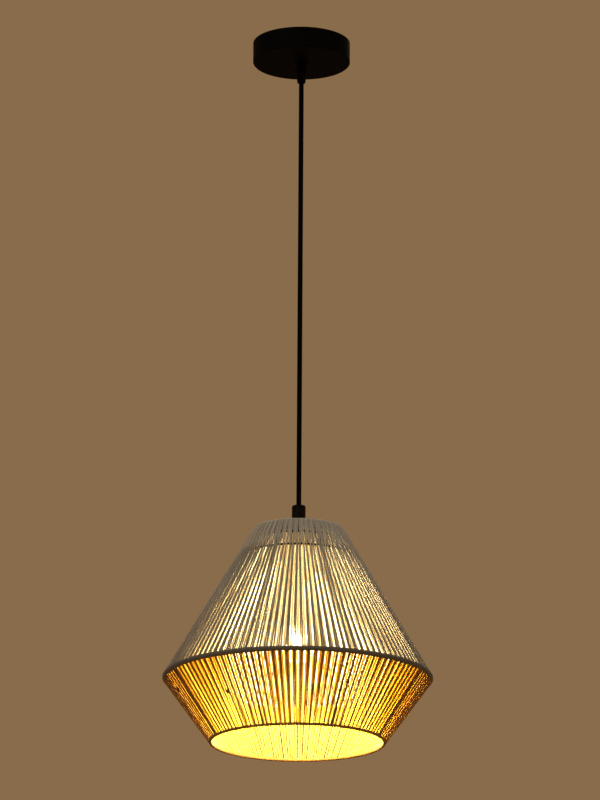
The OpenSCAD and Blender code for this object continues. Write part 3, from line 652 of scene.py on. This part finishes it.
# ---------------------------------------------------------------- the wound shade
for k, runs in enumerate(upper_runs):
    piece = strands_object(f"upper_strings_{k + 1}", runs, "shade", string_white)
    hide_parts("upper_winding")
band = strands_object("upper_band_strings", fill_runs, "shade", string_white)
lower_half = len(lower_inner) // 2
for name, runs in (("lower_strings_outer_1", lower_outer[:lower_half]),
                   ("lower_strings_outer_2", lower_outer[lower_half:]),
                   ("lower_strings_inner_1", lower_inner[:lower_half]),
                   ("lower_strings_inner_2", lower_inner[lower_half:])):
    piece = strands_object(name, runs, "shade", string_natural)
    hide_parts("lower_winding")
BELLY_RIM_R, BELLY_STRING_W, BELLY_SIDES = 3.2, 2.1, 16
belly = bound_rim("belly_rim", belly_pt, BELLY_RIM_R, BELLY_STRING_W, BELLY_SIDES, binding_grey)
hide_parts("belly_binding")
BOTTOM_RIM_R, BOTTOM_STRING_W, BOTTOM_SIDES = 1.95, 1.9, 12   # a wider rim leaves the CAD box
bottom = bound_rim("bottom_rim", bottom_pt, BOTTOM_RIM_R, BOTTOM_STRING_W, BOTTOM_SIDES,
                   binding_brown)
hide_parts("bottom_binding")

# ---------------------------------------------------------------- cord
CORD_TOP, CORD_BOTTOM, CORD_D = -0.049, -0.5964, 0.006
CORD_POINTS = 32
curve = bpy.data.curves.new("cord_line", "CURVE")
curve.dimensions = "3D"
curve.bevel_depth = CORD_D / 2
curve.bevel_resolution = 6
curve.use_fill_caps = True
# the upper end is round, so that it swings freely in the mouth of the canopy grip
DOME_DEGREES = [10.0, 35.0, 60.0]
dome = [(CORD_TOP - CORD_D / 2 * (1.0 - math.cos(a)), math.sin(a))
        for a in np.radians(DOME_DEGREES)]
straight = [(z, 1.0) for z in np.linspace(CORD_TOP - CORD_D / 2, CORD_BOTTOM, CORD_POINTS)]
spline = curve.splines.new("POLY")
spline.points.add(len(dome + straight) - 1)
for point, (z, width) in zip(spline.points, dome + straight):
    point.co = (0.0, 0.0, z, 1.0)
    point.radius = width
curve.materials.append(sheath)
cord = bpy.data.objects.new("hanging_cord", curve)
bpy.context.scene.collection.objects.link(cord)
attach(cord, "cord")
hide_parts("power_cord")

# ---------------------------------------------------------------- floor and light
FLOOR_Z = -6.0
FLOOR_HALF = 30.0
floor_mesh = bpy.data.meshes.new("floor")
floor_mesh.from_pydata([(-FLOOR_HALF, -FLOOR_HALF, FLOOR_Z), (FLOOR_HALF, -FLOOR_HALF, FLOOR_Z),
                        (FLOOR_HALF, FLOOR_HALF, FLOOR_Z), (-FLOOR_HALF, FLOOR_HALF, FLOOR_Z)],
                       [], [(0, 1, 2, 3)])
floor = bpy.data.objects.new("floor", floor_mesh)
floor_mesh.materials.append(coated_material("floor_pale", (0.84, 0.78, 0.70), 0.9, grain=30.0,
                                            strength=0.0, blotch=0.3, uneven=0.02))
bpy.context.scene.collection.objects.link(floor)


def area_light(name, place, target, size, power, colour):
    """A square soft light; size in metres and power in watts."""
    data = bpy.data.lights.new(name, "AREA")
    data.shape = "SQUARE"
    data.size = size
    data.energy = power
    data.color = colour
    obj = bpy.data.objects.new(name, data)
    obj.location = place
    obj.rotation_mode = "QUATERNION"
    obj.rotation_quaternion = (Vector(target) - Vector(place)).to_track_quat("-Z", "Y")
    bpy.context.scene.collection.objects.link(obj)


SHADE_CENTRE = (0.0, 0.0, -0.75)
area_light("key", (-2.0, -2.6, 2.4), SHADE_CENTRE, 2.2, 46.0, (0.94, 1.0, 0.94))
area_light("fill", (2.6, -2.0, 1.8), SHADE_CENTRE, 2.6, 17.0, (0.92, 0.96, 1.0))
area_light("back", (0.6, 3.2, 2.2), SHADE_CENTRE, 2.4, 22.0, (1.0, 0.98, 0.92))

# the lit lamp: a soft source at its strips, which goes with the lamp
LAMP_LIGHT_Z = -0.764
LAMP_POWER = 9.5
STRIPS_RADIUS = 0.014
lamp_data = bpy.data.lights.new("lamp_glow", "POINT")
lamp_data.energy = LAMP_POWER
lamp_data.color = (1.0, 0.76, 0.38)
lamp_data.shadow_soft_size = STRIPS_RADIUS
lamp_light = bpy.data.objects.new("lamp_glow", lamp_data)
lamp_light.location = (0.0, 0.0, LAMP_LIGHT_Z)
bpy.context.scene.collection.objects.link(lamp_light)
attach(lamp_light, "lamp")

ROOM_BROWN = (0.25, 0.15, 0.07, 1.0)   # close to the photo's wall
world = bpy.data.worlds.new("studio")
world.use_nodes = True
world.node_tree.nodes["Background"].inputs["Color"].default_value = ROOM_BROWN
world.node_tree.nodes["Background"].inputs["Strength"].default_value = 1.0
bpy.context.scene.world = world
